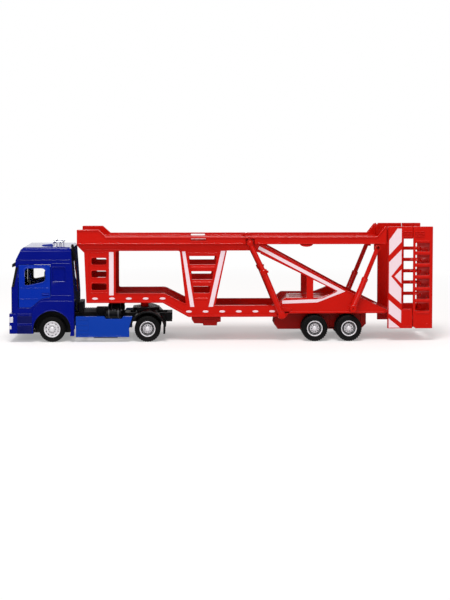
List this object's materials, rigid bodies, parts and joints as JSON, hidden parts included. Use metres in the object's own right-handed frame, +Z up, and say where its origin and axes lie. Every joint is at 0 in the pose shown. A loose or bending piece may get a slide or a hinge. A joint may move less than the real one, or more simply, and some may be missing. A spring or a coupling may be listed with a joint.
{
  "type": "toy car transporter truck",
  "caption": "Toy articulated car transporter: hollow-cab tractor and two-deck semi-trailer with a tilting rear deck and fold-down loading ramp.",
  "frame": {"origin": "on the ground below the middle of the toy's box", "axes": "+X towards the rear along the toy, +Y to the vehicle's right, +Z up; the cab faces -X"},
  "size_m": [0.3388, 0.0542, 0.0922],
  "materials": {
    "tyre_rubber": "soft black rubber",
    "wheel_silver": "silver paint",
    "axle_steel": "plain steel",
    "cab_blue": "glossy dark blue",
    "door_blue": "glossy blue",
    "skirt_blue": "glossy bright blue",
    "clear_plastic": "clear plastic",
    "chrome_trim": "chrome plated",
    "black_plastic": "satin black",
    "grey_plastic": "grey",
    "dark_red_plastic": "dark red",
    "red_plastic": "glossy red"
  },
  "bodies": {
    "tractor": {"chassis_frame": "black_plastic", "equipment_box": "black_plastic", "gearbox_cover": "grey_plastic", "cab_shell": "cab_blue", "windscreen": "clear_plastic", "sun_visor": "black_plastic", "front_grille": "black_plastic", "front_bumper": "cab_blue", "head_lamps": "chrome_trim", "dashboard": "black_plastic", "steering_wheel": "black_plastic", "cab_seats": "black_plastic", "roof_hatch": "door_blue", "roof_horns": "chrome_trim", "exhaust_stack": "chrome_trim", "air_tanks": "black_plastic", "drive_mudguards": "black_plastic", "fifth_wheel": "black_plastic", "side_skirt_left": "skirt_blue", "side_skirt_right": "skirt_blue"},
    "door_left": {"door_left": "door_blue", "side_window_left": "clear_plastic"},
    "door_right": {"door_right": "door_blue", "side_window_right": "clear_plastic"},
    "front_wheels": {"front_wheel_axle": "axle_steel", "front_wheel_rims": "wheel_silver", "front_wheel_tyres": "tyre_rubber"},
    "drive_wheels": {"drive_wheel_axle": "axle_steel", "drive_wheel_rims": "wheel_silver", "drive_wheel_tyres": "tyre_rubber"},
    "trailer": {"side_frame_left": "red_plastic", "side_frame_right": "red_plastic", "lower_deck": "red_plastic", "front_wall": "red_plastic", "kingpin_block": "red_plastic", "upper_deck_front": "red_plastic", "deck_struts": "red_plastic", "ram_pins": "red_plastic", "rear_post_left": "red_plastic", "rear_post_right": "red_plastic", "tail_floor": "red_plastic", "undercarriage": "dark_red_plastic", "support_block": "dark_red_plastic"},
    "trailer_wheels_a": {"trailer_wheel_a_axle": "axle_steel", "trailer_wheel_a_rims": "wheel_silver", "trailer_wheel_a_tyres": "tyre_rubber"},
    "trailer_wheels_b": {"trailer_wheel_b_axle": "axle_steel", "trailer_wheel_b_rims": "wheel_silver", "trailer_wheel_b_tyres": "tyre_rubber"},
    "rear_upper_deck": {"upper_deck_rear": "red_plastic"},
    "ram_barrels": {"ram_barrels": "red_plastic"},
    "ram_rods": {"ram_rods": "red_plastic"},
    "loading_ramp": {"rear_ramp": "red_plastic"}
  },
  "joints": [
    {"name": "trailer_pivot", "type": "hinge", "parent": "tractor", "child": "trailer", "pos_m": [-0.0626, 0, 0.0253], "axis": [0, 0, 1], "range_deg": [-90, 90]},
    {"name": "front_wheels_roll", "type": "hinge", "parent": "tractor", "child": "front_wheels", "pos_m": [-0.1355, 0, 0.0104], "axis": [0, 1, 0], "continuous": true},
    {"name": "drive_wheels_roll", "type": "hinge", "parent": "tractor", "child": "drive_wheels", "pos_m": [-0.0594, 0, 0.0104], "axis": [0, 1, 0], "continuous": true},
    {"name": "trailer_wheels_a_roll", "type": "hinge", "parent": "trailer", "child": "trailer_wheels_a", "pos_m": [0.0747, 0, 0.0104], "axis": [0, 1, 0], "continuous": true},
    {"name": "trailer_wheels_b_roll", "type": "hinge", "parent": "trailer", "child": "trailer_wheels_b", "pos_m": [0.1022, 0, 0.0104], "axis": [0, 1, 0], "continuous": true},
    {"name": "door_left_hinge", "type": "hinge", "parent": "tractor", "child": "door_left", "pos_m": [-0.16115, -0.02425, 0.045], "axis": [0, 0, -1], "range_deg": [0, 60]},
    {"name": "door_right_hinge", "type": "hinge", "parent": "tractor", "child": "door_right", "pos_m": [-0.16115, 0.02425, 0.045], "axis": [0, 0, 1], "range_deg": [0, 60]},
    {"name": "rear_deck_tilt", "type": "hinge", "parent": "trailer", "child": "rear_upper_deck", "pos_m": [0.0222, 0, 0.0796], "axis": [0, 1, 0], "range_deg": [0, 12]},
    {"name": "ram_barrels_swing", "type": "hinge", "parent": "trailer", "child": "ram_barrels", "pos_m": [0.105, 0, 0.0266], "axis": [0, 1, 0], "range_deg": [0, 11.5]},
    {"name": "ram_rods_slide", "type": "slide", "parent": "ram_barrels", "child": "ram_rods", "axis": [-0.376, 0, -0.9266], "range_m": [0, 0.0215]},
    {"name": "loading_ramp_fold", "type": "hinge", "parent": "trailer", "child": "loading_ramp", "pos_m": [0.1654, 0, 0.0134], "axis": [0, 1, 0], "range_deg": [0, 97]}
  ],
  "couplings": [
    {"joint": "ram_barrels_swing", "follows": "rear_deck_tilt", "ratio": 0.7278},
    {"joint": "ram_rods_slide", "follows": "rear_deck_tilt", "m_per_rad": 0.09744}
  ]
}
